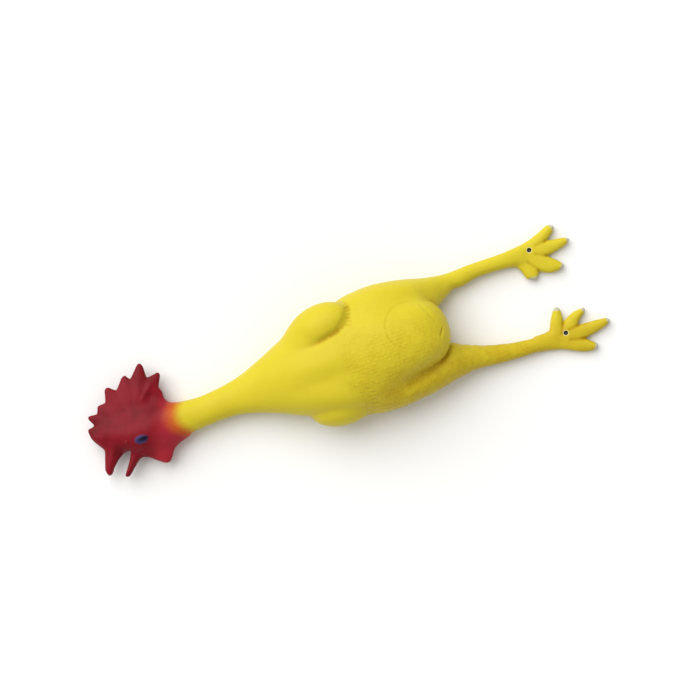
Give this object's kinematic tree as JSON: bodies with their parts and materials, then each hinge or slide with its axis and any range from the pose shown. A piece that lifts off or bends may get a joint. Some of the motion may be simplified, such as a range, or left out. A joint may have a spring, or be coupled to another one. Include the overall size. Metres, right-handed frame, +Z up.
{
  "type": "rubber chicken",
  "caption": "Plucked rubber chicken lying on its back, hollow yellow latex with a red painted head, bending at the neck, legs and toes, and a punched hole in each foot.",
  "frame": {"origin": "centre of the bounding box in plan, on the table that the chicken lies on", "axes": "+X from the head to the feet, +Y towards the leg named left, +Z up from the table through the belly"},
  "size_m": [0.5056, 0.1264, 0.074],
  "materials": {
    "yellow_latex": "semi-matte moulded latex",
    "red_latex": "semi-gloss painted latex"
  },
  "bodies": {
    "torso": {"torso": "yellow_latex", "belly_patch": "yellow_latex", "left_wing": "yellow_latex", "right_wing": "yellow_latex"},
    "neck_lower": {"neck_lower": "yellow_latex"},
    "neck_middle": {"neck_middle": "yellow_latex"},
    "neck_upper": {"neck_upper": "yellow_latex"},
    "head": {"head": "red_latex", "comb": "red_latex", "wattle": "red_latex", "upper_beak": "red_latex"},
    "lower_beak": {"lower_beak": "red_latex"},
    "left_thigh": {"left_thigh": "yellow_latex"},
    "left_shank": {"left_shank": "yellow_latex"},
    "left_foot": {"left_palm": "yellow_latex"},
    "right_thigh": {"right_thigh": "yellow_latex"},
    "right_shank": {"right_shank": "yellow_latex"},
    "right_foot": {"right_palm": "yellow_latex"},
    "left_outer_toe": {"left_outer_toe": "yellow_latex"},
    "left_middle_toe": {"left_middle_toe": "yellow_latex"},
    "left_inner_toe": {"left_inner_toe": "yellow_latex"},
    "left_back_toe": {"left_back_toe": "yellow_latex"},
    "right_outer_toe": {"right_outer_toe": "yellow_latex"},
    "right_middle_toe": {"right_middle_toe": "yellow_latex"},
    "right_inner_toe": {"right_inner_toe": "yellow_latex"},
    "right_back_toe": {"right_back_toe": "yellow_latex"}
  },
  "joints": [
    {"name": "neck_base", "type": "hinge", "parent": "torso", "child": "neck_lower", "pos_m": [-0.088, -0.0005, 0.0185], "axis": [0, 1, 0], "range_deg": [0, 40], "stiffness_Nm_per_rad": 0.25},
    {"name": "neck_swing", "type": "hinge", "parent": "neck_lower", "child": "neck_middle", "pos_m": [-0.115, -0.0018, 0.0145], "axis": [0, 0, 1], "range_deg": [-40, 40], "stiffness_Nm_per_rad": 0.2},
    {"name": "neck_lift", "type": "hinge", "parent": "neck_middle", "child": "neck_upper", "pos_m": [-0.14, -0.0038, 0.0135], "axis": [0, 1, 0], "range_deg": [0, 40], "stiffness_Nm_per_rad": 0.2},
    {"name": "head_nod", "type": "hinge", "parent": "neck_upper", "child": "head", "pos_m": [-0.166, -0.0045, 0.014], "axis": [0, 0, 1], "range_deg": [-30, 30], "stiffness_Nm_per_rad": 0.2},
    {"name": "left_hip", "type": "hinge", "parent": "torso", "child": "left_thigh", "pos_m": [0.116, 0.0385, 0.011], "axis": [0, -1, 0], "range_deg": [0, 40], "stiffness_Nm_per_rad": 0.2},
    {"name": "right_hip", "type": "hinge", "parent": "torso", "child": "right_thigh", "pos_m": [0.116, -0.034, 0.011], "axis": [0, -1, 0], "range_deg": [0, 40], "stiffness_Nm_per_rad": 0.2},
    {"name": "left_knee", "type": "hinge", "parent": "left_thigh", "child": "left_shank", "pos_m": [0.142, 0.0433, 0.0077], "axis": [0, 0, 1], "range_deg": [-20, 35], "stiffness_Nm_per_rad": 0.12},
    {"name": "right_knee", "type": "hinge", "parent": "right_thigh", "child": "right_shank", "pos_m": [0.142, -0.0389, 0.0093], "axis": [0, 0, 1], "range_deg": [-35, 20], "stiffness_Nm_per_rad": 0.12},
    {"name": "left_ankle", "type": "hinge", "parent": "left_shank", "child": "left_foot", "pos_m": [0.182, 0.0433, 0.0069], "axis": [0, -1, 0], "range_deg": [0, 40], "stiffness_Nm_per_rad": 0.06},
    {"name": "right_ankle", "type": "hinge", "parent": "right_shank", "child": "right_foot", "pos_m": [0.184, -0.0422, 0.0072], "axis": [0, -1, 0], "range_deg": [0, 40], "stiffness_Nm_per_rad": 0.06},
    {"name": "beak_pinch", "type": "hinge", "parent": "head", "child": "lower_beak", "pos_m": [-0.2172, -0.0258, 0.014], "axis": [0, 0, 1], "range_deg": [-16, 12], "stiffness_Nm_per_rad": 0.02},
    {"name": "left_outer_toe_curl", "type": "hinge", "parent": "left_foot", "child": "left_outer_toe", "pos_m": [0.21513, 0.05579, 0.00435], "axis": [0.3902, -0.9207, 0], "range_deg": [-8, 25], "stiffness_Nm_per_rad": 0.01},
    {"name": "left_middle_toe_curl", "type": "hinge", "parent": "left_foot", "child": "left_middle_toe", "pos_m": [0.21799, 0.04374, 0.00471], "axis": [0.0291, -0.9996, 0], "range_deg": [-8, 25], "stiffness_Nm_per_rad": 0.01},
    {"name": "left_inner_toe_curl", "type": "hinge", "parent": "left_foot", "child": "left_inner_toe", "pos_m": [0.2119, 0.03154, 0.00443], "axis": [-0.5873, -0.8094, 0], "range_deg": [-8, 25], "stiffness_Nm_per_rad": 0.01},
    {"name": "left_back_toe_curl", "type": "hinge", "parent": "left_foot", "child": "left_back_toe", "pos_m": [0.19784, 0.02752, 0.00415], "axis": [-0.9981, 0.0611, 0], "range_deg": [-8, 25], "stiffness_Nm_per_rad": 0.01},
    {"name": "right_outer_toe_curl", "type": "hinge", "parent": "right_foot", "child": "right_outer_toe", "pos_m": [0.22156, -0.05475, 0.00401], "axis": [-0.5002, -0.8659, 0], "range_deg": [-8, 25], "stiffness_Nm_per_rad": 0.01},
    {"name": "right_middle_toe_curl", "type": "hinge", "parent": "right_foot", "child": "right_middle_toe", "pos_m": [0.22598, -0.04224, 0.00502], "axis": [0.0546, -0.9985, 0], "range_deg": [-8, 25], "stiffness_Nm_per_rad": 0.01},
    {"name": "right_inner_toe_curl", "type": "hinge", "parent": "right_foot", "child": "right_inner_toe", "pos_m": [0.22007, -0.03135, 0.00421], "axis": [0.5151, -0.8571, 0], "range_deg": [-8, 25], "stiffness_Nm_per_rad": 0.01},
    {"name": "right_back_toe_curl", "type": "hinge", "parent": "right_foot", "child": "right_back_toe", "pos_m": [0.20596, -0.02489, 0.0042], "axis": [0.9664, -0.257, 0], "range_deg": [-8, 25], "stiffness_Nm_per_rad": 0.01}
  ]
}
